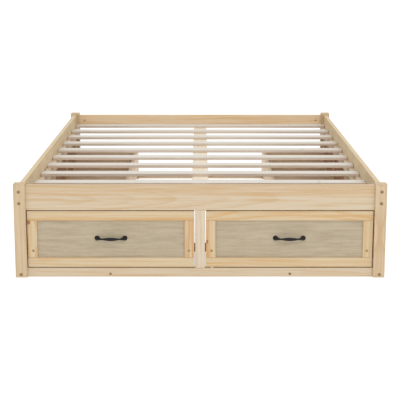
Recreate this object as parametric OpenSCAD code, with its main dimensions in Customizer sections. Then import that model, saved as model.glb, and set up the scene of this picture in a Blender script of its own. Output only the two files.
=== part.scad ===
// Platform bed with four storage drawers: two at the foot end and one on each side.
// Origin: on the floor, under the centre of the whole footprint. +Z is up, the foot end
// faces -Y and +X is the right side as seen from the foot end. Millimetres.

/* [Bed frame] */
// Width over the outer faces of the posts
bed_w = 1600; // [1400:10:1800]
// Length over the outer faces of the posts
bed_l = 2110; // [2000:10:2300]
// Height of the corner posts
post_h = 413; // [400:1:440]
// Side of the square corner posts
post = 50; // [46:1:60]
// Thickness of every rail
rail_t = 22; // [18:1:26]
// How far the rails' outer faces sit behind the posts' outer faces
rail_inset = 12; // [8:1:14]
// How far the side and head top rails stop below the posts' tops
rail_drop = 12; // [6:1:20]
// How far the foot top rail stops below the posts' tops
foot_rail_drop = 5; // [3:1:12]
// Height of the side top rails
top_rail_h = 104; // [90:1:110]
// Height of the head top rail
head_rail_h = 76; // [60:1:80]
// Height of the bottom rails
bottom_rail_h = 40; // [30:1:45]
// Width of the upright between two drawers
mid_post_w = 43; // [40:1:60]

/* [Slats] */
// Width of a slat
slat_w = 68; // [50:1:90]
// Thickness of a slat
slat_t = 14; // [12:1:20]
// Height of the slats' top faces above the floor
slat_top = 345; // [335:1:360]
// Distance from the foot rail's inner face to the first slat
first_slat = 108; // [60:1:140]
// Thickness of the ledger that carries the slats' ends
ledger_t = 22; // [18:1:30]
// Height of the ledger
ledger_h = 47; // [30:1:50]
// Width of the beam under the middle of the slats
beam_w = 76; // [60:1:90]
// Thickness of the beam
beam_t = 30; // [22:1:34]
// Side of the square legs under the beam
leg = 44; // [38:1:60]

/* [Drawers] */
// Gap around every drawer front
gap = 4; // [2:0.5:5]
// Width of the drawer front's rails and stiles
member_w = 42; // [35:1:50]
// How far the front's panel lies behind its frame
recess = 6.5; // [4:0.5:8]
// Thickness of the front's panel
panel_t = 6; // [4:0.5:8]
// Depth of a foot drawer's box
foot_box_l = 480; // [400:5:520]
// Depth of a side drawer's box
side_box_l = 383; // [340:1:400]
// Underside of the drawer boxes above the floor
box_z0 = 52; // [50:1:60]
// Top of the drawer boxes above the floor
box_z1 = 197; // [170:1:210]
// Thickness of the box walls
wall_t = 16; // [12:1:18]
// Thickness of the box bottom
bottom_t = 5; // [4:0.5:8]

/* [Slides] */
// Height of a ball-bearing slide
slide_h = 45; // [40:1:50]
// Height of the slides' middle line above the floor
slide_z = 122.5; // [115:0.5:130]
// Room between a foot opening's edge and the runner that carries the drawer's slide
side_room = 20; // [14:1:24]
// Length of a foot drawer's slide
foot_slide_l = 450; // [350:10:450]
// Length of a side drawer's slide
side_slide_l = 350; // [300:10:350]

/* [Handles] */
// Distance between the two feet of a handle
handle_pitch = 118; // [96:1:128]
// Overall length of a handle
handle_l = 142; // [130:1:160]
// How far a handle stands out from the panel
handle_out = 30; // [28:1:34]
// Largest radius of the bar, at its middle
bar_r = 7.25; // [6:0.25:8]
// Radius of the bar over its feet
bar_neck_r = 4; // [4:0.25:5]

/* [Hidden] */
$fn = 48;
slat_count = 10;
slide_w = 12.7;
sheet_t = 1.2;
play = 0.3;
ease = 1.5;
groove = 8;
bolt_r = 3;
bolt_l = 90;
bolt_head_r = 7.5;
bolt_head_h = 4;
bolt_sink = 0.6;
rail_bolt_l = 14;
rail_bolt_head_r = 6;
socket_r = 3.2;
nut_r = 5;
nut_l = 16;
nut_x = 33;
screw_r = 1.75;
screw_head_r = 4;
screw_head_h = 2;
runner_t = 12;
runner_z1 = 165;
runner_play = 2;
bracket_z0 = 106;
bracket_z1 = 141;
bracket_t = 20;
runner_end = 385;
rosette_r = 11;
neck_r = 3.5;

pine = [0.84, 0.74, 0.60];
pale_pine = [0.88, 0.83, 0.74];
warm_pine = [0.86, 0.73, 0.54];
plywood = [0.74, 0.68, 0.57];
board_brown = [0.52, 0.38, 0.26];
steel = [0.70, 0.71, 0.73];
black = [0.12, 0.12, 0.12];

// Room that the foot handles take in front of the posts: the model is centred over both
overhang = handle_out - recess - rail_inset;
foot_y = (overhang - bed_l) / 2;
half_w = bed_w / 2;
rail_x1 = half_w - rail_inset;
rail_x0 = rail_x1 - rail_t;
post_x0 = half_w - post;
rail_z1 = post_h - rail_drop;
rail_z0 = rail_z1 - top_rail_h;
// Distances behind the foot posts' outer faces
foot_in = rail_inset + rail_t;
head_in = bed_l - foot_in;
slat_pitch = (head_in - foot_in - first_slat - slat_w) / (slat_count - 1);
mid_d0 = 998;
mid_d1 = mid_d0 + mid_post_w;
side_d1 = bed_l - post;
leg_places = [705, 1410];
slat_z0 = slat_top - slat_t;
front_z0 = bottom_rail_h + gap;
front_z1 = rail_z0 - gap;
slat_screw_x = rail_x0 - ledger_t / 2;

function behind(d) = foot_y + d;

// ---- Shared shapes ----

// Rectangle with eased corners
module eased_rect(w, h, e = ease) {
    polygon([[e, 0], [w - e, 0], [w, e], [w, h - e], [w - e, h], [e, h], [0, h - e], [0, e]]);
}

// Board between two corners, with its four long edges eased
module board(low, high, along, e = ease) {
    s = high - low;
    translate(low) {
        if (along == "x") rotate([90, 0, 90]) linear_extrude(s.x) eased_rect(s.y, s.z, e);
        if (along == "y") translate([0, s.y, 0]) rotate([90, 0, 0])
            linear_extrude(s.y) eased_rect(s.x, s.z, e);
        if (along == "z") linear_extrude(s.z) eased_rect(s.x, s.y, e);
    }
}

// Plain block between two corners
module block(low, high) {
    translate(low) cube(high - low);
}

// Shapes are drawn for the right side and mirrored for the left
module on_side(side) {
    if (side > 0) children();
    else mirror([1, 0, 0]) children();
}

// Turns a foot drawer's shapes, which face -Y, to face +X for the right side drawer.
// A drawer is drawn about its own opening: x along the front, y = 0 at the front's face.
module at_foot_opening(side) {
    opening_x = (mid_post_w / 2 + post_x0) / 2;
    on_side(side) translate([opening_x, behind(rail_inset), 0]) children();
}

module at_side_opening(side) {
    opening_y = behind((mid_d1 + side_d1) / 2);
    on_side(side) translate([rail_x1, opening_y, 0]) rotate([0, 0, 90]) children();
}

foot_opening_w = post_x0 - mid_post_w / 2;
foot_slide_w = foot_opening_w - 2 * side_room;
side_opening_w = side_d1 - mid_d1;

// ---- Fasteners ----

// Hexagon-socket bolt whose axis runs along +Z from the surface at z = 0 into the wood
module bolt(head_r = bolt_head_r, l = bolt_l) {
    difference() {
        union() {
            translate([0, 0, bolt_sink]) cylinder(r = head_r, h = bolt_head_h);
            bolt_shank(l);
        }
        translate([0, 0, -1]) cylinder(r = socket_r, h = bolt_sink + 3.4, $fn = 6);
    }
}

module bolt_shank(l) {
    translate([0, 0, bolt_sink + bolt_head_h]) cylinder(r = bolt_r, h = l);
}

module bolt_hole(head_r = bolt_head_r, l = bolt_l) {
    translate([0, 0, -1]) cylinder(r = head_r, h = bolt_sink + bolt_head_h + 1);
    bolt_shank(l);
}

// Countersunk screw from the surface at z = 0 into the wood
module screw(l) {
    difference() {
        union() {
            cylinder(r = screw_head_r, h = screw_head_h);
            translate([0, 0, screw_head_h]) cylinder(r = screw_r, h = l - screw_head_h);
        }
        for (a = [0, 90]) rotate([0, 0, a]) translate([-2.2, -0.45, -1]) cube([4.4, 0.9, 2.2]);
    }
}

module screw_hole(l) {
    translate([0, 0, -1]) cylinder(r = screw_head_r, h = screw_head_h + 1);
    translate([0, 0, screw_head_h]) cylinder(r = screw_r, h = l - screw_head_h);
}

// Heights of the bolts that go across the bed into the end rails
function cross_bolts(end) = end < 0 ? [rail_z1 - 46, rail_z1 - 92, 29] : [rail_z1 - 34, 29];

// Shapes are drawn for the foot end and mirrored for the head end
module at_end(end) {
    if (end < 0) children();
    else translate([0, 2 * foot_y + bed_l, 0]) mirror([0, 1, 0]) children();
}

// Bolts at one corner: along the bed into the side rail, across it into the end rails
module corner_bolts(side, end) {
    in_y = rail_inset + rail_t / 2;
    for (z = [rail_z1 - 21, rail_z1 - 72, 13]) at_end(end) on_side(side)
        translate([half_w - in_y, foot_y, z]) rotate([-90, 0, 0]) children();
    for (z = cross_bolts(end)) at_end(end) on_side(side)
        translate([half_w, foot_y + in_y, z]) rotate([0, -90, 0]) children();
}

module all_bolts() {
    for (side = [-1, 1]) for (end = [-1, 1]) corner_bolts(side, end) children();
}

// Barrel nuts let into the end rails' inner faces, one for every bolt across the bed
module all_nuts() {
    for (side = [-1, 1]) for (end = [-1, 1]) for (z = cross_bolts(end)) at_end(end) on_side(side)
        translate([post_x0 - nut_x, behind(foot_in), z]) rotate([90, 0, 0]) children();
}

// Slotted barrel from the surface at z = 0 into the wood
module nut() {
    difference() {
        translate([0, 0, 1]) cylinder(r = nut_r, h = nut_l - 1);
        translate([-nut_r - 1, -0.6, 0]) cube([2 * nut_r + 2, 1.2, 2.5]);
    }
}

module nut_hole() {
    translate([0, 0, -1]) cylinder(r = nut_r, h = nut_l + 1);
}

rail_bolt_x = 390;
slat_screw_l = 34;

module foot_rail_bolts() {
    for (x = [-rail_bolt_x, rail_bolt_x])
        translate([x, behind(rail_inset), 13]) rotate([-90, 0, 0]) children();
}

module slat_screws(i) {
    for (side = [-1, 1])
        translate([side * slat_screw_x, slat_y(i) + slat_w / 2, slat_top]) rotate([180, 0, 0]) children();
}

// ---- Frame ----

module corner_post(side, end) {
    y = end < 0 ? behind(0) : behind(bed_l - post);
    color(pine) difference() {
        on_side(side) post_body(y);
        corner_bolts(side, end) bolt_hole();
    }
}

// Upright with eased edges and a low chamfered top
module post_body(y) {
    top_ease = 2;
    intersection() {
        board([post_x0, y, 0], [half_w, y + post, post_h], "z");
        translate([post_x0, y, 0]) rotate([90, 0, 90]) linear_extrude(post) polygon([
            [0, 0], [post, 0], [post, post_h - top_ease], [post - top_ease, post_h],
            [top_ease, post_h], [0, post_h - top_ease]]);
    }
}

module end_rail(d, z0, z1) {
    difference() {
        board([-post_x0, behind(d), z0], [post_x0, behind(d + rail_t), z1], "x");
        all_bolts() bolt_hole();
        all_nuts() nut_hole();
        foot_rail_bolts() bolt_hole(rail_bolt_head_r, rail_bolt_l);
    }
}

module side_rail(side, z0, z1) {
    color(pine) difference() {
        on_side(side) board([rail_x0, behind(post), z0], [rail_x1, behind(bed_l - post), z1], "y");
        all_bolts() bolt_hole();
    }
}

module foot_top_rail() { color(pine) end_rail(rail_inset, rail_z0, post_h - foot_rail_drop); }
module foot_bottom_rail() { color(pine) end_rail(rail_inset, 0, bottom_rail_h); }
module head_top_rail() { color(pine) end_rail(head_in, rail_z1 - head_rail_h, rail_z1); }
module head_bottom_rail() { color(pine) end_rail(head_in, 0, bottom_rail_h); }

module foot_centre_post() {
    color(pale_pine) board([-mid_post_w / 2, behind(rail_inset), bottom_rail_h],
                           [mid_post_w / 2, behind(foot_in), rail_z0], "z");
}

module side_mid_posts() {
    color(pine) for (side = [-1, 1]) on_side(side)
        board([rail_x0, behind(mid_d0), bottom_rail_h], [rail_x1, behind(mid_d1), rail_z0], "z");
}

// Fixed panel that closes the side between the foot post and the mid post
module side_panel(side) {
    panel_x1 = rail_x1 - 4;
    color(plywood) on_side(side)
        block([panel_x1 - 12, behind(post), bottom_rail_h], [panel_x1, behind(mid_d0), rail_z0]);
}

module slat_ledgers() {
    color(pale_pine) difference() {
        for (side = [-1, 1]) on_side(side)
            board([rail_x0 - ledger_t, behind(post), slat_z0 - ledger_h],
                  [rail_x0, behind(bed_l - post), slat_z0], "y");
        for (i = [1 : slat_count]) slat_screws(i) screw_hole(slat_screw_l);
    }
}

module centre_beam() {
    color(pale_pine) board([-beam_w / 2, behind(foot_in), slat_z0 - beam_t],
                           [beam_w / 2, behind(head_in), slat_z0], "y");
}

module centre_legs() {
    color(pale_pine) for (d = leg_places)
        board([-leg / 2, behind(d), 0], [leg / 2, behind(d) + leg, slat_z0 - beam_t], "z");
}

function slat_y(i) = behind(foot_in + first_slat + (i - 1) * slat_pitch);

// The last slat is notched around the head posts
module slat(i) {
    reach = rail_x0 - 2;
    color(pale_pine) difference() {
        board([-reach, slat_y(i), slat_z0], [reach, slat_y(i) + slat_w, slat_top], "x");
        slat_screws(i) screw_hole(slat_screw_l);
        for (side = [-1, 1]) on_side(side)
            block([post_x0 - 1, behind(bed_l - post) - 1, slat_z0 - 1],
                  [half_w, behind(bed_l), slat_top + 1]);
    }
}

// Boards that carry the fixed slide members, and the bracket that ties the two inner ones to the centre post
module drawer_runners() {
    runner_d0 = foot_in + runner_play;
    runner_d1 = foot_in + foot_slide_l + 60;
    inner_x = mid_post_w / 2 + side_room;
    outer_z0 = slide_z - slide_h;
    panel_in = rail_x1 - 16;
    color(pale_pine) {
        block([-mid_post_w / 2, behind(foot_in), bracket_z0],
              [mid_post_w / 2, behind(foot_in + bracket_t), bracket_z1]);
        for (side = [-1, 1]) on_side(side) {
            block([mid_post_w / 2, behind(runner_d0), bracket_z0],
                  [inner_x - runner_t, behind(foot_in + bracket_t), bracket_z1]);
            block([inner_x - runner_t, behind(runner_d0), 0], [inner_x, behind(runner_d1), runner_z1]);
            block([post_x0 - side_room, behind(runner_d0), outer_z0], [post_x0, behind(mid_d0), runner_z1]);
            block([post_x0, behind(post), outer_z0], [panel_in, behind(mid_d0), runner_z1]);
            block([runner_end, behind(mid_d1 - rail_t), 0], [rail_x0, behind(mid_d1), runner_z1]);
            block([runner_end, behind(side_d1), 0], [post_x0, behind(head_in), runner_z1]);
        }
    }
}

module frame_fasteners() {
    color(steel) {
        all_bolts() bolt();
        all_nuts() nut();
        foot_rail_bolts() bolt(rail_bolt_head_r, rail_bolt_l);
        for (i = [1 : slat_count]) slat_screws(i) screw(slat_screw_l);
    }
}

// ---- Slides ----

// Channel section: a back plate on the wall at x = back, with flanges towards the drawer
module channel(back, depth, h, sign) {
    translate([sign > 0 ? back : back - depth, 0]) difference() {
        translate([0, -h / 2]) square([depth, h]);
        translate([sign > 0 ? sheet_t : -sheet_t, sheet_t - h / 2]) square([depth, h - 2 * sheet_t]);
    }
}

// Section of each member, x from the runner's face (0) to the box's face (slide_w)
module fixed_section() { channel(0, 9.5, slide_h, 1); }
module middle_section() { channel(5, 6, slide_h - 2 * sheet_t - 2 * play - 4, 1); }
module inner_section() { channel(slide_w, 5.6, slide_h - 4 * sheet_t - 4 * play - 6, -1); }

// A pair of members, one on each side of an opening of width w, from the front's back face
module slide_pair(w, l) {
    for (s = [-1, 1]) scale_side(s) translate([-w / 2, rail_t + 4, slide_z])
        translate([0, l, 0]) rotate([90, 0, 0]) linear_extrude(l) children();
}

module scale_side(s) {
    if (s < 0) children();
    else mirror([1, 0, 0]) children();
}

module fixed_slide_members() {
    color(steel) for (side = [-1, 1]) {
        at_foot_opening(side) slide_pair(foot_slide_w, foot_slide_l) fixed_section();
        at_side_opening(side) slide_pair(side_opening_w, side_slide_l) fixed_section();
    }
}

module foot_middle_slides(side) {
    color(steel) at_foot_opening(side) slide_pair(foot_slide_w, foot_slide_l) middle_section();
}

module side_middle_slides(side) {
    color(steel) at_side_opening(side) slide_pair(side_opening_w, side_slide_l) middle_section();
}

module foot_inner_slides(side) {
    color(steel) at_foot_opening(side) slide_pair(foot_slide_w, foot_slide_l) inner_section();
}

module side_inner_slides(side) {
    color(steel) at_side_opening(side) slide_pair(side_opening_w, side_slide_l) inner_section();
}

// ---- Drawers, drawn about their opening's middle with the face at y = 0 ----

// Left edge of panel number k, for a front of width w with n panels side by side
function panel_x(w, n, k) = -w / 2 + gap + member_w + k * (panel_w(w, n) + member_w);
function panel_w(w, n) = (w - 2 * gap - (n + 1) * member_w) / n;

module front_frame(w, n) {
    difference() {
        board([-w / 2 + gap, 0, front_z0], [w / 2 - gap, rail_t, front_z1], "x");
        for (k = [0 : n - 1])
            block([panel_x(w, n, k), -1, front_z0 + member_w],
                  [panel_x(w, n, k) + panel_w(w, n), rail_t + 1, front_z1 - member_w]);
        front_panels(w, n);
    }
}

// Panels held in a groove all round
module front_panels(w, n) {
    for (k = [0 : n - 1])
        block([panel_x(w, n, k) - groove, recess, front_z0 + member_w - groove],
              [panel_x(w, n, k) + panel_w(w, n) + groove, recess + panel_t, front_z1 - member_w + groove]);
}

// Radius of the bar at x from its middle
function bar_radius(x) =
    bar_neck_r + (bar_r - bar_neck_r) * pow(cos(90 * min(1, abs(x) / (handle_pitch / 2))), 2);

// Spindle-shaped bar on two necks with round rosettes
module handle(x) {
    bar_y = recess - handle_out + bar_r;
    handle_z = (front_z0 + front_z1) / 2 + 3.5;
    steps = 14;
    end_x = handle_l / 2;
    translate([x, 0, handle_z]) {
        translate([0, bar_y, 0]) rotate([0, 90, 0]) rotate_extrude() polygon(concat(
            [[0, -end_x], [bar_neck_r * 0.6, -end_x]],
            [for (i = [0 : steps]) let (t = (i / steps - 0.5) * (handle_l - 6)) [bar_radius(t), t]],
            [[bar_neck_r * 0.6, end_x], [0, end_x]]));
        for (s = [-1, 1]) translate([s * handle_pitch / 2, recess, 0]) rotate([90, 0, 0]) {
            cylinder(r = rosette_r, h = 2.5);
            cylinder(r = neck_r, h = recess - bar_y);
        }
    }
}

// Three box walls behind the front, which closes the fourth side; w lies between the runners
module drawer_box(w, l) {
    box_w = w - 2 * slide_w;
    difference() {
        block([-box_w / 2, rail_t, box_z0], [box_w / 2, rail_t + l, box_z1]);
        block([-box_w / 2 + wall_t, rail_t - 1, box_z0 - 1],
              [box_w / 2 - wall_t, rail_t + l - wall_t, box_z1 + 1]);
        drawer_bottom(w, l);
    }
}

module drawer_bottom(w, l) {
    half = w / 2 - slide_w - wall_t + 6;
    block([-half, rail_t, box_z0 + 8], [half, rail_t + l - wall_t + 6, box_z0 + 8 + bottom_t]);
}

module foot_front_frame(side) { color(warm_pine) at_foot_opening(side) front_frame(foot_opening_w, 1); }
module foot_front_panel(side) { color(plywood) at_foot_opening(side) front_panels(foot_opening_w, 1); }
module foot_handle(side) { color(black) at_foot_opening(side) handle(0); }
module foot_box(side) { color(plywood) at_foot_opening(side) drawer_box(foot_slide_w, foot_box_l); }
module foot_bottom(side) { color(board_brown) at_foot_opening(side) drawer_bottom(foot_slide_w, foot_box_l); }

module side_front_frame(side) { color(warm_pine) at_side_opening(side) front_frame(side_opening_w, 2); }
module side_front_panels(side) { color(plywood) at_side_opening(side) front_panels(side_opening_w, 2); }
module side_box(side) { color(plywood) at_side_opening(side) drawer_box(side_opening_w, side_box_l); }
module side_bottom(side) {
    color(board_brown) at_side_opening(side) drawer_bottom(side_opening_w, side_box_l);
}

module side_handles(side) {
    color(black) at_side_opening(side) for (k = [0, 1])
        handle(panel_x(side_opening_w, 2, k) + panel_w(side_opening_w, 2) / 2);
}

// ---- Nodes ----

corner_post(-1, -1);  // foot_left_post
corner_post(1, -1);  // foot_right_post
corner_post(-1, 1);  // head_left_post
corner_post(1, 1);  // head_right_post
foot_top_rail();
foot_bottom_rail();
foot_centre_post();
head_top_rail();
head_bottom_rail();
side_rail(-1, rail_z0, rail_z1);  // left_top_rail
side_rail(1, rail_z0, rail_z1);  // right_top_rail
side_rail(-1, 0, bottom_rail_h);  // left_bottom_rail
side_rail(1, 0, bottom_rail_h);  // right_bottom_rail
side_mid_posts();
side_panel(-1);  // left_side_panel
side_panel(1);  // right_side_panel
slat_ledgers();
centre_beam();
centre_legs();
drawer_runners();
frame_fasteners();
slat(1);  // slat_01
slat(2);  // slat_02
slat(3);  // slat_03
slat(4);  // slat_04
slat(5);  // slat_05
slat(6);  // slat_06
slat(7);  // slat_07
slat(8);  // slat_08
slat(9);  // slat_09
slat(10);  // slat_10
fixed_slide_members();
foot_middle_slides(-1);  // foot_left_middle_slides
foot_middle_slides(1);  // foot_right_middle_slides
side_middle_slides(-1);  // side_left_middle_slides
side_middle_slides(1);  // side_right_middle_slides
foot_front_frame(-1);  // foot_left_front_frame
foot_front_panel(-1);  // foot_left_front_panel
foot_handle(-1);  // foot_left_handle
foot_box(-1);  // foot_left_box
foot_bottom(-1);  // foot_left_bottom
foot_inner_slides(-1);  // foot_left_inner_slides
foot_front_frame(1);  // foot_right_front_frame
foot_front_panel(1);  // foot_right_front_panel
foot_handle(1);  // foot_right_handle
foot_box(1);  // foot_right_box
foot_bottom(1);  // foot_right_bottom
foot_inner_slides(1);  // foot_right_inner_slides
side_front_frame(-1);  // side_left_front_frame
side_front_panels(-1);  // side_left_front_panels
side_handles(-1);  // side_left_handles
side_box(-1);  // side_left_box
side_bottom(-1);  // side_left_bottom
side_inner_slides(-1);  // side_left_inner_slides
side_front_frame(1);  // side_right_front_frame
side_front_panels(1);  // side_right_front_panels
side_handles(1);  // side_right_handles
side_box(1);  // side_right_box
side_bottom(1);  // side_right_bottom
side_inner_slides(1);  // side_right_inner_slides
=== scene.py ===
import math

import bmesh
import bpy
from mathutils import Matrix, Vector


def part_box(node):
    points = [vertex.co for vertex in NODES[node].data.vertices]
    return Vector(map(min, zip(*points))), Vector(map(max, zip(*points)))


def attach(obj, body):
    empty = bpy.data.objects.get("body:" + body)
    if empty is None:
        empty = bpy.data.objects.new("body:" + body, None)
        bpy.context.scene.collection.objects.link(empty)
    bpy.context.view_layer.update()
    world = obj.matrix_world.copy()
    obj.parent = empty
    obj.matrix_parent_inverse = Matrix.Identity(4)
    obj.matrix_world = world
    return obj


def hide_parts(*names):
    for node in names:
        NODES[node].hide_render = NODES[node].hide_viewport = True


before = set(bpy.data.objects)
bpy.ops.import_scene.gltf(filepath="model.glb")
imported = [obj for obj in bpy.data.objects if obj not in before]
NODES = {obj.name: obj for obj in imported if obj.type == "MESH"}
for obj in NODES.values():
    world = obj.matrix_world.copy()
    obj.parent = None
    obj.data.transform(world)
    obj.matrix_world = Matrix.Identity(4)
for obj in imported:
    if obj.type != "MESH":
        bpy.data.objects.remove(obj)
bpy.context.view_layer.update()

# ---------------------------------------------------------------- places, all from the frame
DRAWERS = ("foot_left", "foot_right", "side_left", "side_right")
SLATS = [f"slat_{i:02d}" for i in range(1, 11)]
MM = 0.001
# Finishes under soft white light, as linear colours
PINE_LIGHT = (0.72, 0.56, 0.40)
PINE_DARK = (0.60, 0.37, 0.19)


# ---------------------------------------------------------------- node trees
class Graph:
    """Short calls for building a node tree: a value is a number, a tuple or another node's output."""

    def __init__(self, tree):
        self.tree = tree

    def node(self, kind, **settings):
        made = self.tree.nodes.new(kind)
        for name, value in settings.items():
            setattr(made, name, value)
        return made

    def put(self, socket, value):
        if isinstance(value, bpy.types.NodeSocket):
            self.tree.links.new(value, socket)
        else:
            socket.default_value = value

    def math(self, operation, a, b=0.0, c=0.0):
        made = self.node("ShaderNodeMath", operation=operation)
        for socket, value in zip(made.inputs, (a, b, c)):
            self.put(socket, value)
        return made.outputs[0]

    def vector(self, operation, a, b=(0.0, 0.0, 0.0)):
        made = self.node("ShaderNodeVectorMath", operation=operation)
        self.put(made.inputs[0], a)
        self.put(made.inputs[1], b)
        return made.outputs["Value" if operation == "LENGTH" else "Vector"]

    def combine(self, x, y, z):
        made = self.node("ShaderNodeCombineXYZ")
        for socket, value in zip(made.inputs, (x, y, z)):
            self.put(socket, value)
        return made.outputs[0]

    def separate(self, vector):
        made = self.node("ShaderNodeSeparateXYZ")
        self.put(made.inputs[0], vector)
        return made.outputs

    def noise(self, vector, scale=1.0, detail=2.0, roughness=0.5):
        made = self.node("ShaderNodeTexNoise")
        self.put(made.inputs["Vector"], vector)
        self.put(made.inputs["Scale"], scale)
        self.put(made.inputs["Detail"], detail)
        self.put(made.inputs["Roughness"], roughness)
        return made.outputs["Fac"]

    def remap(self, value, low, high, to_low=0.0, to_high=1.0):
        made = self.node("ShaderNodeMapRange", interpolation_type="SMOOTHSTEP")
        for name, number in (
            ("Value", value),
            ("From Min", low),
            ("From Max", high),
            ("To Min", to_low),
            ("To Max", to_high),
        ):
            self.put(made.inputs[name], number)
        return made.outputs["Result"]

    def mix(self, factor, a, b, blend="MIX"):
        made = self.node("ShaderNodeMix", data_type="RGBA", blend_type=blend)
        self.put(made.inputs["Factor"], factor)
        for name, value in (("A", a), ("B", b)):
            socket = [s for s in made.inputs if s.name == name and s.type == "RGBA"][0]
            self.put(socket, value if isinstance(value, bpy.types.NodeSocket) else (*value[:3], 1.0))
        return [s for s in made.outputs if s.type == "RGBA"][0]

    def ramp(self, value, stops):
        made = self.node("ShaderNodeValToRGB")
        ramp = made.color_ramp
        while len(ramp.elements) < len(stops):
            ramp.elements.new(0.5)
        for element, (place, shade) in zip(ramp.elements, stops):
            element.position = place
            element.color = (shade, shade, shade, 1.0)
        self.put(made.inputs["Fac"], value)
        return made.outputs["Color"]


def new_group(name, inputs, outputs):
    """An empty shader group with the named sockets: (name, kind, default)."""
    tree = bpy.data.node_groups.new(name, "ShaderNodeTree")
    for label, kind, default in inputs:
        socket = tree.interface.new_socket(label, in_out="INPUT", socket_type=f"NodeSocket{kind}")
        if default is not None:
            socket.default_value = default
    for label, kind in outputs:
        tree.interface.new_socket(label, in_out="OUTPUT", socket_type=f"NodeSocket{kind}")
    graph = Graph(tree)
    return graph, graph.node("NodeGroupInput").outputs, graph.node("NodeGroupOutput").inputs


def pine_group():
    """Growth rings round a wandering pith, with fibres: the cut through them draws the figure.

    Grain is (across the face, through the thickness, along the board) in metres from the board's middle.
    """
    g, given, out = new_group(
        "pine",
        [
            ("Grain", "Vector", None),
            ("Pith", "Vector", (0.0, 0.05, 0.0)),
            ("Ring", "Float", 0.006),
            ("Bow", "Float", 0.0),
            ("Bow Place", "Float", 0.0),
            ("Wander", "Float", 0.006),
            ("Seed", "Float", 0.0),
            ("Shift", "Float", 0.0),
        ],
        [("Late", "Float"), ("Fibre", "Float"), ("Tone", "Float"), ("Streak", "Float")],
    )
    across, through, along = g.separate(given["Grain"])
    pith = g.separate(given["Pith"])
    lane = g.combine(given["Seed"], 0.0, g.math("MULTIPLY", along, 1.3))
    wander = g.noise(lane, 1.0, 2.0)
    lane_two = g.combine(given["Seed"], 7.3, g.math("MULTIPLY", along, 1.7))
    wander_two = g.noise(lane_two, 1.0, 2.0)
    from_place = g.math("SUBTRACT", along, given["Bow Place"])
    bow = g.math("MULTIPLY", g.math("MULTIPLY", from_place, from_place), given["Bow"])
    drift = g.math("MULTIPLY", g.math("SUBTRACT", wander, 0.5), given["Wander"])
    drift_two = g.math("MULTIPLY", g.math("SUBTRACT", wander_two, 0.5), given["Wander"])
    side = g.math("ADD", g.math("SUBTRACT", across, pith[0]), drift)
    depth = g.math("ADD", g.math("ADD", g.math("SUBTRACT", through, pith[1]), bow), drift_two)
    radius = g.math("SQRT", g.math("ADD", g.math("MULTIPLY", side, side), g.math("MULTIPLY", depth, depth)))
    warp_at = g.combine(
        g.math("MULTIPLY", across, 38.0),
        g.math("MULTIPLY", through, 38.0),
        g.math("ADD", g.math("MULTIPLY", along, 2.6), given["Seed"]),
    )
    warp = g.math("MULTIPLY", g.math("SUBTRACT", g.noise(warp_at, 1.0, 3.0), 0.5), 0.55)
    phase = g.math("ADD", g.math("ADD", g.math("DIVIDE", radius, given["Ring"]), warp), given["Shift"])
    ring = g.math("FLOOR", phase)
    part = g.math("SUBTRACT", phase, ring)
    late_wood = [(0.0, 0.12), (0.08, 0.0), (0.42, 0.12), (0.72, 0.55), (0.88, 1.0), (0.95, 0.85), (1.0, 0.12)]
    late = g.ramp(part, late_wood)
    number = g.node("ShaderNodeTexWhiteNoise", noise_dimensions="1D")
    g.put(number.inputs["W"], g.math("ADD", ring, given["Seed"]))
    strength = g.remap(number.outputs["Value"], 0.1, 0.8, 0.25, 1.0)
    g.put(out["Late"], g.math("MULTIPLY", late, strength))
    fibre_at = g.combine(
        g.math("MULTIPLY", across, 900.0),
        g.math("MULTIPLY", through, 900.0),
        g.math("ADD", g.math("MULTIPLY", along, 16.0), given["Seed"]),
    )
    g.put(out["Fibre"], g.noise(fibre_at, 1.0, 3.0, 0.6))
    tone_at = g.combine(
        g.math("MULTIPLY", across, 14.0),
        g.math("MULTIPLY", through, 14.0),
        g.math("ADD", g.math("MULTIPLY", along, 1.6), given["Seed"]),
    )
    g.put(out["Tone"], g.noise(tone_at, 1.0, 2.0))
    streak_at = g.combine(
        g.math("MULTIPLY", g.math("ADD", across, drift), 105.0),
        g.math("MULTIPLY", through, 105.0),
        g.math("ADD", g.math("MULTIPLY", along, 2.4), given["Seed"]),
    )
    g.put(out["Streak"], g.noise(streak_at, 1.0, 5.0, 0.72))
    return g.tree


def knot_group():
    """A branch that runs through the face: how far it bends the rings, and where its own wood shows."""
    g, given, out = new_group(
        "knot",
        [("Grain", "Vector", None), ("Place", "Vector", (0.0, 0.0, 0.0)), ("Radius", "Float", 0.008)],
        [("Bend", "Float"), ("Mask", "Float"), ("Rings", "Float"), ("Edge", "Float")],
    )
    from_knot = g.vector("SUBTRACT", given["Grain"], given["Place"])
    across, _, along = g.separate(from_knot)
    wobble = g.noise(g.vector("MULTIPLY", from_knot, (230.0, 230.0, 150.0)), 1.0, 3.0)
    flat = g.combine(across, 0.0, g.math("MULTIPLY", along, 0.78))
    away = g.math("DIVIDE", g.vector("LENGTH", flat), given["Radius"])
    away = g.math("ADD", away, g.math("MULTIPLY", g.math("SUBTRACT", wobble, 0.5), 0.6))
    stretched = g.combine(across, 0.0, g.math("MULTIPLY", along, 0.35))
    reach = g.math("DIVIDE", g.vector("LENGTH", stretched), given["Radius"])
    g.put(out["Bend"], g.math("EXPONENT", g.math("MULTIPLY", g.math("MULTIPLY", reach, reach), -0.45)))
    g.put(out["Mask"], g.remap(away, 1.12, 0.88))
    g.put(out["Rings"], g.math("FRACT", g.math("MULTIPLY", away, 3.2)))
    g.put(out["Edge"], g.math("MULTIPLY", g.remap(away, 0.7, 0.98), g.remap(away, 1.3, 1.02)))
    return g.tree


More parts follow.
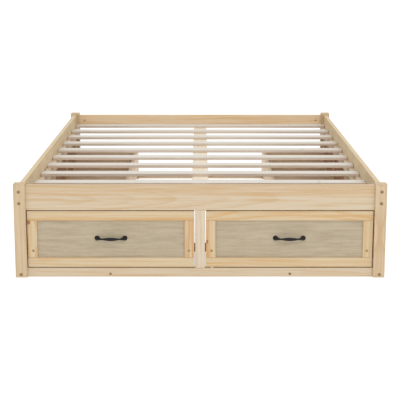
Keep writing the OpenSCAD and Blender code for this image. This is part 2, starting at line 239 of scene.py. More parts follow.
def edge_group():
    """How near a point of a board's surface is to the board's nearest edge: 1 on the edge, 0 inside."""
    g, given, out = new_group(
        "edge",
        [("Place", "Vector", None), ("Half", "Vector", None), ("Reach", "Float", 0.004)],
        [("Edge", "Float")],
    )
    absolute = g.vector("ABSOLUTE", given["Place"])
    x, y, z = g.separate(g.vector("SUBTRACT", given["Half"], absolute))
    low, high = g.math("MINIMUM", x, y), g.math("MAXIMUM", x, y)
    second = g.math("MAXIMUM", low, g.math("MINIMUM", high, z))
    g.put(out["Edge"], g.remap(g.math("DIVIDE", second, given["Reach"]), 1.0, 0.0))
    return g.tree


GROUPS = {"pine": pine_group(), "knot": knot_group(), "edge": edge_group()}


def use_group(g, name, **given):
    made = g.node("ShaderNodeGroup", node_tree=GROUPS[name])
    for label, value in given.items():
        g.put(made.inputs[label.replace("_", " ")], value)
    return made.outputs


def new_material(name):
    material = bpy.data.materials.new(name)
    material.use_nodes = True
    tree = material.node_tree
    tree.nodes.clear()
    g = Graph(tree)
    shader = g.node("ShaderNodeBsdfPrincipled")
    output = g.node("ShaderNodeOutputMaterial")
    tree.links.new(shader.outputs[0], output.inputs[0])
    return material, g, shader


def bump(g, shader, height, distance, strength=0.6):
    made = g.node("ShaderNodeBump")
    made.inputs["Strength"].default_value = strength
    made.inputs["Distance"].default_value = distance
    g.put(made.inputs["Height"], height)
    g.put(shader.inputs["Normal"], made.outputs["Normal"])


def grain_of(g, middle, order):
    """Coordinates from a board's middle, sorted into across, through and along by an order such as "zyx"."""
    coordinates = g.node("ShaderNodeTexCoord").outputs["Object"]
    place = g.vector("SUBTRACT", coordinates, tuple(middle))
    parts = dict(zip("xyz", g.separate(place)))
    return place, g.combine(*(parts[axis] for axis in order))


def pine(name, low, high, order, light=PINE_LIGHT, dark=PINE_DARK, **look):
    """Solid pine for the board between two corners, from its rings, streaks, fibres, heartwood and knots,
    with painted shade on the faces that don't look up when a faces colour is given.
    """
    material, g, shader = new_material(name)
    middle, half = (low + high) / 2, (high - low) / 2
    place, grain = grain_of(g, middle, order)
    knots = [
        use_group(g, "knot", Grain=grain, Place=(across, 0.0, along), Radius=radius)
        for across, along, radius in look.get("knots", ())
    ]
    shift = 0.0
    for knot in knots:
        shift = g.math("ADD", g.math("MULTIPLY", knot["Bend"], 1.6), shift)
    wood = use_group(
        g,
        "pine",
        Grain=grain,
        Pith=look.get("pith", (0.0, 0.06, 0.0)),
        Ring=look.get("ring", 0.006),
        Bow=look.get("bow", 0.0),
        Bow_Place=look.get("bow_place", 0.0),
        Wander=look.get("wander", 0.012),
        Seed=look.get("seed", 0.0),
        Shift=shift,
    )
    contrast = look.get("contrast", 0.55)
    colour = g.mix(g.math("MULTIPLY", wood["Late"], contrast), light, dark)
    across, _, along = g.separate(grain)
    streak = g.remap(wood["Streak"], 0.48, 0.62, 0.0, look.get("streak", 0.45))
    colour = g.mix(streak, colour, dark)
    for axis, start, end, amount in look.get("heart", ()):
        heart = g.remap(along if axis == "along" else across, start, end, 0.0, amount)
        colour = g.mix(heart, colour, g.mix(g.remap(wood["Streak"], 0.35, 0.6, 0.4, 1.0), light, dark))
    colour = g.mix(g.remap(wood["Tone"], 0.45, 0.72, 0.0, 0.35), colour, (1.0, 0.93, 0.80), "MULTIPLY")
    pale = tuple(min(1.0, c * 1.06) for c in light)
    colour = g.mix(g.remap(wood["Streak"], 0.46, 0.34, 0.0, 0.6), colour, pale)
    colour = g.mix(g.remap(wood["Fibre"], 0.35, 0.75, 0.0, 0.13), colour, (0.55, 0.42, 0.30), "MULTIPLY")
    # Painted shade: faces that don't look up are multiplied by the faces colour, darker and warmer than the
    # lit tops
    if "faces" in look:
        up = g.separate(g.node("ShaderNodeNewGeometry").outputs["Normal"])[2]
        colour = g.mix(g.remap(up, 0.5, 0.9, 1.0, 0.0), colour, look["faces"], "MULTIPLY")
    for knot in knots:
        heart = g.mix(knot["Rings"], (0.42, 0.17, 0.06), (0.26, 0.09, 0.03))
        colour = g.mix(g.math("MULTIPLY", knot["Bend"], 0.30), colour, (0.55, 0.28, 0.11))
        colour = g.mix(g.math("MULTIPLY", knot["Mask"], 0.92), colour, heart)
        colour = g.mix(g.math("MULTIPLY", knot["Edge"], 0.6), colour, (0.16, 0.06, 0.025))
    worn = use_group(g, "edge", Place=place, Half=tuple(half), Reach=0.0035)["Edge"]
    worn = g.math("MULTIPLY", worn, g.remap(wood["Tone"], 0.3, 0.7, 0.35, 0.8))
    colour = g.mix(g.math("MULTIPLY", worn, 0.30), colour, tuple(c * 0.62 for c in dark))
    g.put(shader.inputs["Base Color"], colour)
    g.put(shader.inputs["Roughness"], g.remap(wood["Late"], 0.0, 1.0, look.get("rough", 0.62), 0.48))
    shader.inputs["Specular IOR Level"].default_value = 0.32
    height = g.math("ADD", g.math("MULTIPLY", wood["Late"], 0.6), g.math("MULTIPLY", wood["Fibre"], 0.8))
    bump(g, shader, height, 0.00035)
    return material


def plywood(name, low, high, order, light, dark, seed, layer_axis=None, inner=None):
    """Pine-faced plywood: a flat, stretched figure on its faces, thin layers on its edges.

    inner is (axis, sign, colour): a darker, redder colour for the faces that look that way.
    """
    material, g, shader = new_material(name)
    middle = (low + high) / 2
    place, grain = grain_of(g, middle, order)
    wood = use_group(
        g, "pine", Grain=grain, Pith=(0.01, 0.11, 0.0), Ring=0.0085, Wander=0.05, Seed=seed, Shift=0.0
    )
    across, through, along = g.separate(grain)
    streak_at = g.combine(
        g.math("MULTIPLY", across, 70.0),
        g.math("MULTIPLY", through, 10.0),
        g.math("ADD", g.math("MULTIPLY", along, 7.0), seed),
    )
    streak = g.noise(streak_at, 1.0, 4.0, 0.6)
    fleck_at = g.combine(
        g.math("MULTIPLY", across, 420.0), 0.0, g.math("ADD", g.math("MULTIPLY", along, 45.0), seed)
    )
    fleck = g.noise(fleck_at, 1.0, 2.0)
    colour = g.mix(g.remap(streak, 0.38, 0.68, 0.0, 0.75), light, dark)
    colour = g.mix(g.math("MULTIPLY", wood["Late"], 0.22), colour, tuple(c * 0.78 for c in dark))
    colour = g.mix(g.remap(fleck, 0.55, 0.8, 0.0, 0.35), colour, tuple(c * 0.62 for c in dark))
    if inner is not None:
        # Faces that look the inner way take the given darker, redder colour
        axis, sign, inward_colour = inner
        facing = g.separate(g.node("ShaderNodeNewGeometry").outputs["Normal"])["xyz".index(axis)]
        facing = g.remap(g.math("MULTIPLY", facing, sign), 0.5, 0.8)
        inward_streaked = g.mix(g.remap(streak, 0.35, 0.65), inward_colour, tuple(c * 0.7 for c in inward_colour))
        colour = g.mix(facing, colour, inward_streaked)
    if layer_axis is not None:
        layers = g.math("MULTIPLY", dict(zip("xyz", g.separate(place)))[layer_axis], 1.0 / 0.0045)
        stripe = g.remap(g.math("ABSOLUTE", g.math("SUBTRACT", g.math("FRACT", layers), 0.5)), 0.2, 0.3)
        normal = g.node("ShaderNodeNewGeometry").outputs["Normal"]
        up = g.math("ABSOLUTE", g.separate(normal)[2])
        on_edge = g.remap(up, 0.6, 0.8)
        colour = g.mix(g.math("MULTIPLY", g.math("MULTIPLY", stripe, on_edge), 0.55), colour,
                       tuple(c * 0.55 for c in dark))
    g.put(shader.inputs["Base Color"], colour)
    g.put(shader.inputs["Roughness"], g.remap(streak, 0.3, 0.7, 0.5, 0.66))
    shader.inputs["Specular IOR Level"].default_value = 0.3
    bump(g, shader, g.math("ADD", g.math("MULTIPLY", fleck, 0.7), wood["Fibre"]), 0.0002)
    return material


def hardboard(name):
    material, g, shader = new_material(name)
    coordinates = g.node("ShaderNodeTexCoord").outputs["Object"]
    speck = g.noise(coordinates, 520.0, 3.0, 0.7)
    cloud = g.noise(coordinates, 9.0, 3.0)
    # The hardboard's browns are painted lighter than bare hardboard, to stand in for light that the bed
    # shades off the drawers' bottoms
    colour = g.mix(g.remap(cloud, 0.35, 0.65), (0.58, 0.42, 0.28), (0.50, 0.35, 0.22))
    colour = g.mix(g.remap(speck, 0.5, 0.75, 0.0, 0.6), colour, (0.30, 0.18, 0.10))
    g.put(shader.inputs["Base Color"], colour)
    g.put(shader.inputs["Roughness"], g.remap(cloud, 0.3, 0.7, 0.45, 0.6))
    bump(g, shader, speck, 0.0002)
    return material


def zinc(name, tint=(0.62, 0.63, 0.64), rough=0.32):
    """Zinc-plated steel: cloudy spangle, drawn lines and dull patches."""
    material, g, shader = new_material(name)
    coordinates = g.node("ShaderNodeTexCoord").outputs["Object"]
    spangle = g.noise(coordinates, 140.0, 3.0)
    line = g.noise(g.vector("MULTIPLY", coordinates, (60.0, 60.0, 1400.0)), 1.0, 2.0)
    dull = g.noise(coordinates, 25.0, 2.0)
    shade = g.mix(g.remap(spangle, 0.35, 0.65), tint, tuple(c * 0.8 for c in tint))
    shade = g.mix(g.remap(dull, 0.5, 0.75, 0.0, 0.4), shade, tuple(c * 0.65 for c in tint))
    g.put(shader.inputs["Base Color"], shade)
    shader.inputs["Metallic"].default_value = 1.0
    g.put(shader.inputs["Roughness"], g.remap(dull, 0.3, 0.7, rough, rough + 0.2))
    bump(g, shader, g.math("ADD", line, spangle), 0.0001)
    return material


def black_iron(name):
    """Black powder coat: fine orange peel, with a little bare metal on the most handled parts."""
    material, g, shader = new_material(name)
    coordinates = g.node("ShaderNodeTexCoord").outputs["Object"]
    peel = g.noise(coordinates, 900.0, 2.0)
    cloud = g.noise(coordinates, 60.0, 3.0)
    colour = g.mix(g.remap(cloud, 0.35, 0.7), (0.007, 0.007, 0.008), (0.014, 0.0135, 0.013))
    g.put(shader.inputs["Base Color"], colour)
    g.put(shader.inputs["Roughness"], g.remap(cloud, 0.3, 0.7, 0.36, 0.5))
    shader.inputs["Specular IOR Level"].default_value = 0.22
    bump(g, shader, peel, 0.00025)
    return material


def rubber(name, colour):
    material, g, shader = new_material(name)
    coordinates = g.node("ShaderNodeTexCoord").outputs["Object"]
    dust = g.noise(coordinates, 300.0, 3.0)
    dusty = tuple(c * 0.85 for c in colour)
    g.put(shader.inputs["Base Color"], g.mix(g.remap(dust, 0.4, 0.7), colour, dusty))
    g.put(shader.inputs["Roughness"], g.remap(dust, 0.3, 0.7, 0.4, 0.6))
    bump(g, shader, dust, 0.0001)
    return material


# ---------------------------------------------------------------- looks of the CAD boards
def assign(node, material):
    obj = NODES[node]
    obj.data.materials.clear()
    obj.data.materials.append(material)


def ease_edges(obj, width=0.0012, segments=2):
    """Rounds a board's sharp edges."""
    made = obj.modifiers.new("ease", "BEVEL")
    made.width = width
    made.segments = segments
    made.limit_method = "ANGLE"
    made.angle_limit = math.radians(40)
    made.harden_normals = True


def board_look(node, order, **look):
    low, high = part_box(node)
    assign(node, pine(f"{node}_pine", low, high, order, **look))
    ease_edges(NODES[node])


FRAME_LIGHT = (0.595, 0.495, 0.362)
FRAME_DARK = (0.53, 0.35, 0.175)
POST_LIGHT = (0.58, 0.455, 0.302)
POST_DARK = (0.49, 0.32, 0.165)
SIDE_LIGHT = (0.65, 0.535, 0.355)
SIDE_DARK = (0.58, 0.40, 0.205)
# The head top rail's pine is warmer than the frame's, and is also painted brighter to stand in for light that
# the slats shade off it
HEAD_BRIGHTENED_LIGHT = (0.75, 0.585, 0.40)
HEAD_BRIGHTENED_DARK = (0.66, 0.42, 0.19)
PALE_LIGHT = (0.635, 0.54, 0.41)
PALE_DARK = (0.50, 0.365, 0.235)
# The drawer runners' pale pine is painted darker and browner: painted shade, as seen between the foot
# drawers' fronts
RUNNER_SHADED_LIGHT = (0.46, 0.335, 0.21)
RUNNER_SHADED_DARK = (0.37, 0.25, 0.14)
# The centre beam's pine is painted brighter to stand in for light that the slats above shade off it
BEAM_BRIGHTENED_LIGHT = (0.80, 0.71, 0.57)
BEAM_BRIGHTENED_DARK = (0.70, 0.56, 0.40)
SLAT_LIGHT = (0.69, 0.67, 0.62)
SLAT_DARK = (0.61, 0.53, 0.43)
# Painted shade for the slats' faces that don't look up
SLAT_SIDE_SHADE = (0.98, 0.87, 0.81)

for number, node in enumerate(("foot_left_post", "foot_right_post", "head_left_post", "head_right_post")):
    board_look(
        node, "xyz", light=POST_LIGHT, dark=POST_DARK, contrast=0.7 - 0.1 * (number % 2), ring=0.0115,
        pith=(0.012 - 0.012 * (number % 2), 0.045, 0.0),
        bow=0.6 * (number % 2),
        wander=0.03,
        seed=3.1 + number,
    )
board_look(
    "foot_top_rail", "zyx", light=FRAME_LIGHT, dark=FRAME_DARK, contrast=0.5, ring=0.0125,
    pith=(-0.004, 0.098, 0.0), bow=0.022, bow_place=1.35, wander=0.022, seed=11.0, streak=0.6,
    heart=[("across", 0.0, 0.022, 0.55)],
)
board_look(
    "foot_bottom_rail", "zyx", light=FRAME_LIGHT, dark=FRAME_DARK, contrast=0.6, ring=0.012, streak=0.6,
    pith=(0.12, 0.02, 0.0), wander=0.02, seed=14.0,
)
board_look(
    "foot_centre_post", "xyz", light=PALE_LIGHT, dark=PALE_DARK, contrast=0.4, ring=0.0125, streak=0.5,
    pith=(0.15, 0.01, 0.0), wander=0.008, seed=17.0,
)
board_look(
    "head_top_rail", "zyx", light=HEAD_BRIGHTENED_LIGHT, dark=HEAD_BRIGHTENED_DARK, contrast=0.5, ring=0.011, streak=0.7,
    pith=(0.06, -0.02, 0.0), bow=-0.01, wander=0.02, seed=21.0,
)
board_look(
    "head_bottom_rail", "zyx", light=FRAME_LIGHT, dark=FRAME_DARK, contrast=0.6, ring=0.008,
    pith=(0.10, -0.02, 0.0), wander=0.02, seed=23.0, knots=[(0.004, 0.068, 0.013)],
)
for number, side in enumerate(("left", "right")):
    board_look(
        f"{side}_top_rail", "zxy", light=SIDE_LIGHT, dark=SIDE_DARK, contrast=0.5, ring=0.011,
        pith=(0.02, 0.07 if number else -0.07, 0.0), bow=0.05, wander=0.03, seed=31.0 + number,
        knots=[(-0.02, -0.35 + 0.6 * number, 0.011), (0.018, 0.55, 0.008)],
    )
    board_look(
        f"{side}_bottom_rail", "zxy", light=FRAME_LIGHT, dark=FRAME_DARK, contrast=0.5, ring=0.008,
        pith=(0.10, 0.02, 0.0), wander=0.02, seed=41.0 + number,
    )
board_look("side_mid_posts", "yxz", light=FRAME_LIGHT, dark=FRAME_DARK, pith=(0.9, 0.02, 0.0), seed=51.0)
board_look("slat_ledgers", "zxy", light=PALE_LIGHT, dark=PALE_DARK, pith=(0.02, 0.9, 0.0), seed=53.0)
board_look(
    "centre_beam", "xzy", light=BEAM_BRIGHTENED_LIGHT, dark=BEAM_BRIGHTENED_DARK, contrast=0.5, ring=0.009,
    pith=(0.01, -0.06, 0.0), wander=0.03, seed=55.0,
)
board_look("centre_legs", "xyz", light=PALE_LIGHT, dark=PALE_DARK, pith=(0.03, 0.9, 0.0), seed=57.0)
board_look("drawer_runners", "zxy", light=RUNNER_SHADED_LIGHT, dark=RUNNER_SHADED_DARK, pith=(0.03, 0.4, 0.0), seed=59.0)
for number, node in enumerate(SLATS):
    board_look(
        node, "yzx", light=SLAT_LIGHT, dark=SLAT_DARK, contrast=0.45, ring=0.009, faces=SLAT_SIDE_SHADE,
        pith=(0.05 * math.sin(2.4 * number), -0.05 - 0.02 * math.cos(1.7 * number), 0.0),
        bow=0.03 * math.sin(5.0 * number), wander=0.03, seed=61.0 + 1.7 * number, rough=0.7,
        knots=[(0.012 * math.cos(3.1 * number), 0.55, 0.004)] if number % 4 == 1 else (),
    )

PLY_LIGHT = (0.455, 0.383, 0.27)
PLY_DARK = (0.362, 0.293, 0.197)
PLY_BACK = (0.41, 0.215, 0.11)
# The side drawers' boxes are the box plywood painted brighter, to stand in for light that the slats shade off
# their insides
SIDE_BOX_BRIGHTENED_LIGHT = (0.72, 0.58, 0.42)
SIDE_BOX_BRIGHTENED_DARK = (0.60, 0.45, 0.30)
FOOT_BOX_LIGHT = (0.62, 0.465, 0.29)
FOOT_BOX_DARK = (0.50, 0.355, 0.205)
for number, side in enumerate(("left", "right")):
    low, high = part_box(f"{side}_side_panel")
    board = plywood(f"{side}_side_ply", low, high, "zxy", PLY_LIGHT, PLY_DARK, 71.0 + number)
    assign(f"{side}_side_panel", board)
for number, drawer in enumerate(DRAWERS):
    panel = f"{drawer}_front_panels" if drawer.startswith("side") else f"{drawer}_front_panel"
    along_y = drawer.startswith("side")
    low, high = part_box(panel)
    order = "zxy" if along_y else "zyx"
    inner = ("x", 1.0 if drawer == "side_left" else -1.0, PLY_BACK) if along_y else None
    assign(
        panel,
        plywood(f"{panel}_ply", low, high, order, PLY_LIGHT, PLY_DARK, 81.0 + 2.3 * number, inner=inner),
    )
    low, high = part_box(f"{drawer}_box")
    light, dark = (SIDE_BOX_BRIGHTENED_LIGHT, SIDE_BOX_BRIGHTENED_DARK) if along_y else (FOOT_BOX_LIGHT, FOOT_BOX_DARK)
    layers = "x" if along_y else "y"
    board = plywood(f"{drawer}_box_ply", low, high, order, light, dark, 91.0 + number, layers)
    assign(f"{drawer}_box", board)
    ease_edges(NODES[f"{drawer}_box"], 0.0008)
    ease_edges(NODES[panel], 0.0005)

HARDBOARD = hardboard("hardboard")
ZINC = zinc("zinc")
DARK_ZINC = zinc("dark_zinc", (0.40, 0.27, 0.16), 0.45)
OLIVE_ZINC = zinc("olive_zinc", (0.39, 0.29, 0.14), 0.45)
BLACK = black_iron("black_iron")
for drawer in DRAWERS:
    assign(f"{drawer}_bottom", HARDBOARD)
    assign(f"{drawer}_inner_slides", ZINC)
    assign(f"{drawer}_middle_slides", ZINC)
assign("fixed_slide_members", ZINC)
assign("frame_fasteners", DARK_ZINC)


# ---------------------------------------------------------------- new pieces
def link(name, mesh, material):
    obj = bpy.data.objects.new(name, mesh)
    bpy.context.scene.collection.objects.link(obj)
    if material is not None:
        obj.data.materials.append(material)
    return obj


def smooth_shade(obj, angle=40.0):
    for face in obj.data.polygons:
        face.use_smooth = True
    obj.data.set_sharp_from_angle(angle=math.radians(angle))


def merge(shape, piece):
    """Moves a bmesh's faces into another bmesh."""
    mesh = bpy.data.meshes.new("part")
    piece.to_mesh(mesh)
    piece.free()
    shape.from_mesh(mesh)
    bpy.data.meshes.remove(mesh)


def eased_box(shape, low, high, slot_index, ease=0.0016):
    """Adds a board with rounded edges to a bmesh."""
    piece = bmesh.new()
    bmesh.ops.create_cube(piece, size=1.0)
    middle, span = (low + high) / 2, high - low
    for vertex in piece.verts:
        vertex.co = Vector(middle[i] + vertex.co[i] * span[i] for i in range(3))
    bmesh.ops.bevel(piece, geom=piece.edges[:], offset=ease, segments=3, profile=0.6, affect="EDGES")
    for face in piece.faces:
        face.material_index = slot_index
    merge(shape, piece)


def front_frame(drawer):
    """The drawer front's rails and stiles as separate boards, each with its own grain."""
    sideways = drawer.startswith("side")
    panel_node = f"{drawer}_front_panels" if sideways else f"{drawer}_front_panel"
    node = f"{drawer}_front_frame"
    low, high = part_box(node)
    panel_low, panel_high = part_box(panel_node)
    groove = 8 * MM
    run = 1 if sideways else 0
    member = panel_low[2] + groove - low[2]
    hair = 0.15 * MM
    boards = []

    def add(label, start, end, bottom, top, upright):
        a, b = Vector(low), Vector(high)
        a[run], b[run] = start, end
        a[2], b[2] = bottom, top
        boards.append((label, a, b, upright))

    add("bottom", low[run], high[run], low[2], low[2] + member - hair, False)
    add("top", low[run], high[run], high[2] - member + hair, high[2], False)
    count = 3 if sideways else 2
    step = (high[run] - low[run] - member) / (count - 1)
    for i in range(count):
        start = low[run] + i * step
        add(f"stile_{i + 1}", start, start + member, low[2] + member, high[2] - member, True)

    shape = bmesh.new()
    materials = []
    base = 101.0 + 13.0 * DRAWERS.index(drawer)
    across_axis, along_axis = ("y", "x") if sideways else ("x", "y")
    for index, (label, a, b, upright) in enumerate(boards):
        eased_box(shape, a, b, index)
        order = f"{across_axis}{along_axis}z" if upright else f"z{along_axis}{across_axis}"
        seed = base + 2.7 * index
        look = {
            "pith": (0.12 + 0.02 * math.sin(seed), 0.02 * math.cos(seed), 0.0),
            "ring": 0.0155 if upright else 0.013,
            "bow": 0.02 * math.sin(1.3 * seed),
            "wander": 0.008 if upright else 0.02,
            "contrast": 1.0 if upright else 0.75,
            "streak": 0.65,
            "seed": seed,
        }
        look.update(LOOKS.get(drawer, {}).get(label, {}))
        light, dark = look.pop("light", DRAWER_LIGHT), look.pop("dark", DRAWER_DARK)
        materials.append(pine(f"{drawer}_{label}_pine", a, b, order, light, dark, **look))
    mesh = bpy.data.meshes.new(f"{drawer}_front")
    shape.to_mesh(mesh)
    shape.free()
    obj = link(f"{drawer}_front", mesh, None)
    for material in materials:
        obj.data.materials.append(material)
    smooth_shade(obj, 30)
    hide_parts(node)
    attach(obj, f"{drawer}_drawer")


DRAWER_LIGHT = (0.605, 0.495, 0.33)
DRAWER_DARK = (0.56, 0.325, 0.12)
# Boards that differ from the rest. A knot is (across, along, radius) from the board's middle,
# and a band of heartwood is (axis, from, to, amount)
LOOKS = {
    "foot_left": {
        "top": {"heart": [("across", -0.001, -0.014, 0.75)], "contrast": 0.4, "streak": 0.4},
        "bottom": {"contrast": 0.55, "streak": 0.5},
        "stile_1": {
            "knots": [(-0.015, 0.0755, 0.0065)],
            "contrast": 0.7,
            "bow": 0.5,
            "pith": (0.03, 0.05, 0.0),
        },
        "stile_2": {"contrast": 1.0, "dark": (0.54, 0.27, 0.075), "heart": [("across", 0.020, -0.024, 0.25)]},
    },
    "foot_right": {
        "top": {"heart": [("across", -0.06, -0.02, 0.2)], "bow": 0.16, "pith": (0.03, 0.06, 0.0)},
        "bottom": {"heart": [("across", -0.06, -0.02, 0.35)]},
        "stile_1": {
            "knots": [(-0.017, -0.011, 0.0055)],
            "contrast": 0.35,
            "dark": (0.56, 0.285, 0.09),
            "heart": [("across", -0.003, -0.014, 1.0)],
        },
        "stile_2": {"contrast": 0.5, "heart": [("across", -0.03, 0.02, 0.4)]},
    },
    "side_left": {"stile_2": {"knots": [(0.006, 0.03, 0.006)]}},
    "side_right": {"top": {"knots": [(0.004, 0.21, 0.007)]}},
}
for drawer in DRAWERS:
    front_frame(drawer)


def spline_value(a, b, c, d, t):
    """Catmull-Rom value a part t of the way from b to c."""
    square = (2 * a - 5 * b + 4 * c - d) * t * t
    cube = (3 * b - a - 3 * c + d) * t**3
    return 0.5 * (2 * b + (c - a) * t + square + cube)


def spline(points, steps):
    """Catmull-Rom curve through points given as tuples of any length."""
    line = []
    padded = [points[0], *points, points[-1]]
    for i in range(1, len(padded) - 2):
        p0, p1, p2, p3 = padded[i - 1 : i + 3]
        for s in range(steps):
            t = s / steps
            line.append(tuple(spline_value(*four, t) for four in zip(p0, p1, p2, p3)))
    line.append(tuple(points[-1]))
    return line


def sweep(shape, line, sides):
    """Adds to shape a skin of rings round a plane path of (run, out, radius), closed at both ends."""
    rings = []
    for i, (run, out, radius) in enumerate(line):
        before, after = line[max(i - 1, 0)], line[min(i + 1, len(line) - 1)]
        forward = Vector((after[0] - before[0], 0.0, after[1] - before[1])).normalized()
        normal = Vector((-forward.z, 0.0, forward.x))
        ring = []
        for k in range(sides):
            turn = math.tau * k / sides
            offset = normal * (radius * math.cos(turn)) + Vector((0.0, radius * math.sin(turn), 0.0))
            ring.append(shape.verts.new(Vector((run, 0.0, out)) + offset))
        rings.append(ring)
    for one, two in zip(rings, rings[1:]):
        for k in range(sides):
            shape.faces.new((one[k], one[(k + 1) % sides], two[(k + 1) % sides], two[k]))
    shape.faces.new(list(reversed(rings[0])))
    shape.faces.new(rings[-1])


def turned(shape, profile, place, sides):
    """A turned disc or dome about the outward axis: profile holds (radius, out), from the wall outwards."""
    rings = []
    for radius, out in profile:
        rings.append([
            shape.verts.new(place + Vector((radius * math.cos(math.tau * k / sides),
                                            radius * math.sin(math.tau * k / sides), out)))
            for k in range(sides)
        ])
    for one, two in zip(rings, rings[1:]):
        for k in range(sides):
            shape.faces.new((one[k], one[(k + 1) % sides], two[(k + 1) % sides], two[k]))
    shape.faces.new(list(reversed(rings[0])))
    shape.faces.new(rings[-1])


def bow_handle():
    """A bow pull about its own middle: x along the bar, y up and z out of the panel."""
    half = [
        (0.0, 22.6, 7.2), (9.0, 22.5, 7.0), (19.0, 22.2, 6.0), (28.0, 21.5, 4.7), (36.0, 20.4, 3.7),
        (42.0, 18.8, 4.0), (47.0, 16.2, 5.3), (51.5, 12.5, 6.6),
        (56.0, 7.8, 7.6), (58.6, 3.6, 8.6), (59.4, 1.0, 9.2),
    ]
    whole = [(-x, out, r) for x, out, r in reversed(half[1:])] + half
    line = [(x * MM, out * MM, r * MM) for x, out, r in spline(whole, 5)]
    shape = bmesh.new()
    sweep(shape, line, 24)
    rosette = [(10.9, 0.0), (11.0, 1.2), (10.7, 2.1), (10.0, 2.7), (8.9, 3.0), (4.0, 3.2)]
    for side in (-1, 1):
        turned(shape, [(r * MM, out * MM) for r, out in rosette], Vector((side * 60.0 * MM, 0.0, 0.0)), 32)
    bmesh.ops.recalc_face_normals(shape, faces=shape.faces)
    mesh = bpy.data.meshes.new("bow_handle")
    shape.to_mesh(mesh)
    shape.free()
    return mesh


HANDLE = bow_handle()


def handle_places(drawer):
    """Middle of each handle on the panel's face, from the CAD handles and panel."""
    sideways = drawer.startswith("side")
    node = f"{drawer}_handles" if sideways else f"{drawer}_handle"
    low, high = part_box(node)
    z = (low[2] + high[2]) / 2
    if not sideways:
        return node, [Vector(((low[0] + high[0]) / 2, high[1], z))]
    wall_x = low[0] if drawer == "side_right" else high[0]
    half = 71 * MM
    return node, [Vector((wall_x, y, z)) for y in (low[1] + half, high[1] - half)]


for drawer in DRAWERS:
    node, places = handle_places(drawer)
    outward = {"side_left": (-1, 0, 0), "side_right": (1, 0, 0)}.get(drawer, (0, -1, 0))
    out_axis = Vector(outward)
    up_axis = Vector((0, 0, 1))
    run_axis = up_axis.cross(out_axis)
    for number, place in enumerate(places):
        mesh = HANDLE.copy()
        turn = Matrix((run_axis, up_axis, out_axis)).transposed().to_4x4()
        mesh.transform(Matrix.Translation(place) @ turn)
        handle = link(f"{drawer}_bow_handle_{number + 1}", mesh, BLACK)
        smooth_shade(handle, 50)
        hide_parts(node)
        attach(handle, f"{drawer}_drawer")


def screw_heads(name, body, places, out_axis, radius, material):
    """Round screw heads, dished in the middle, that stand a little proud of a face."""
    shape = bmesh.new()
    up_axis = Vector((0, 0, 1))
    run_axis = up_axis.cross(out_axis)
    turn = Matrix((run_axis, up_axis, out_axis)).transposed().to_4x4()
    profile = [(radius, -0.8 * MM), (radius, 0.1 * MM), (radius * 0.86, 0.45 * MM), (radius * 0.5, 0.62 * MM)]
    for place in places:
        piece = bmesh.new()
        turned(piece, profile, Vector((0, 0, 0)), 20)
        piece.faces.ensure_lookup_table()
        cap = piece.faces[len(piece.faces) - 1]
        bmesh.ops.inset_region(piece, faces=[cap], thickness=radius * 0.12, depth=-0.5 * MM)
        piece.transform(Matrix.Translation(place) @ turn)
        merge(shape, piece)
    bmesh.ops.recalc_face_normals(shape, faces=shape.faces)
    mesh = bpy.data.meshes.new(name)
    shape.to_mesh(mesh)
    shape.free()
    obj = link(name, mesh, material)
    smooth_shade(obj, 35)
    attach(obj, body)


SCREW_UP = 73 * MM
SCREW_IN = 24 * MM
for drawer in DRAWERS:
    low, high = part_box(f"{drawer}_front_frame")
    sideways = drawer.startswith("side")
    run = 1 if sideways else 0
    out_axis = Vector({"side_left": (-1, 0, 0), "side_right": (1, 0, 0)}.get(drawer, (0, -1, 0)))
    face = {"side_left": low[0], "side_right": high[0]}.get(drawer, low[1])
    places = []
    up = low[2] + SCREW_UP
    for along in (low[run] + SCREW_IN, high[run] - SCREW_IN):
        places.append(Vector((face, along, up)) if sideways else Vector((along, face, up)))
    screw_heads(f"{drawer}_front_screws", f"{drawer}_drawer", places, out_axis, 5.8 * MM, OLIVE_ZINC)


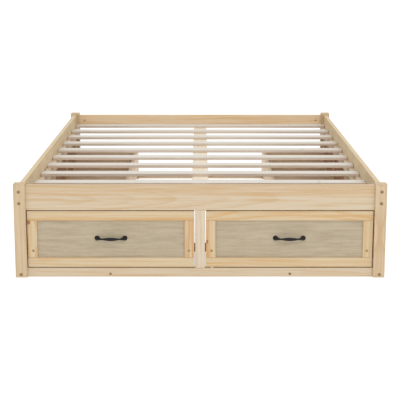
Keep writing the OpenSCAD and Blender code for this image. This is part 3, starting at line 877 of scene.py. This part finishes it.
def bumper():
    """A clear rubber pad that the right foot drawer's front slides over, stuck to the bottom rail."""
    low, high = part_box("foot_bottom_rail")
    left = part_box("foot_centre_post")[1][0] + 22.5 * MM
    gap = 3.4 * MM
    shape = bmesh.new()
    start = Vector((left, low[1] + 2 * MM, high[2] - 0.2 * MM))
    end = Vector((left + 13 * MM, low[1] + 15 * MM, high[2] + gap))
    eased_box(shape, start, end, 0, 1.2 * MM)
    mesh = bpy.data.meshes.new("front_pad")
    shape.to_mesh(mesh)
    shape.free()
    pad = link("front_pad", mesh, rubber("clear_rubber", (0.62, 0.64, 0.62)))
    smooth_shade(pad, 30)
    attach(pad, "frame")


bumper()


# ---------------------------------------------------------------- floor, light and camera
def stage():
    bpy.ops.mesh.primitive_plane_add(size=60.0, location=(0, 0, 0))
    floor = bpy.context.object
    floor.name = "floor"
    material, g, shader = new_material("pale_floor")
    shader.inputs["Base Color"].default_value = (0.55, 0.55, 0.55, 1.0)
    shader.inputs["Roughness"].default_value = 1.0
    shader.inputs["Specular IOR Level"].default_value = 0.0
    shader.inputs["Emission Color"].default_value = (1.0, 1.0, 1.0, 1.0)
    shader.inputs["Emission Strength"].default_value = 0.62
    floor.data.materials.append(material)
    world = bpy.data.worlds.new("studio")
    world.use_nodes = True
    background = world.node_tree.nodes["Background"]
    background.inputs["Color"].default_value = (1.0, 1.0, 1.0, 1.0)
    background.inputs["Strength"].default_value = 1.0
    bpy.context.scene.world = world


def softbox(name, place, target, width, height, power):
    light = bpy.data.lights.new(name, "AREA")
    light.shape = "RECTANGLE"
    light.size = width
    light.size_y = height
    light.energy = power
    obj = bpy.data.objects.new(name, light)
    obj.location = place
    obj.rotation_euler = (Vector(target) - Vector(place)).to_track_quat("-Z", "Y").to_euler()
    bpy.context.scene.collection.objects.link(obj)


def camera():
    """Long lens, a little above the bed and looking down along it from the foot end."""
    data = bpy.data.cameras.new("camera")
    data.sensor_width = 36.0
    data.lens = 94.7
    data.shift_y = -0.10
    data.clip_end = 100.0
    obj = bpy.data.objects.new("camera", data)
    obj.location = (-0.0006, -5.437, 1.371)
    obj.rotation_euler = (math.radians(90.0 - 10.98), 0.0, 0.0)
    bpy.context.scene.collection.objects.link(obj)
    bpy.context.scene.camera = obj


stage()
softbox("key", (1.4, -3.5, 4.5), (0, 0, 0.2), 4.0, 4.0, 60.0)
camera()
bpy.context.scene.view_settings.view_transform = "Standard"
bpy.context.scene.view_settings.look = "None"
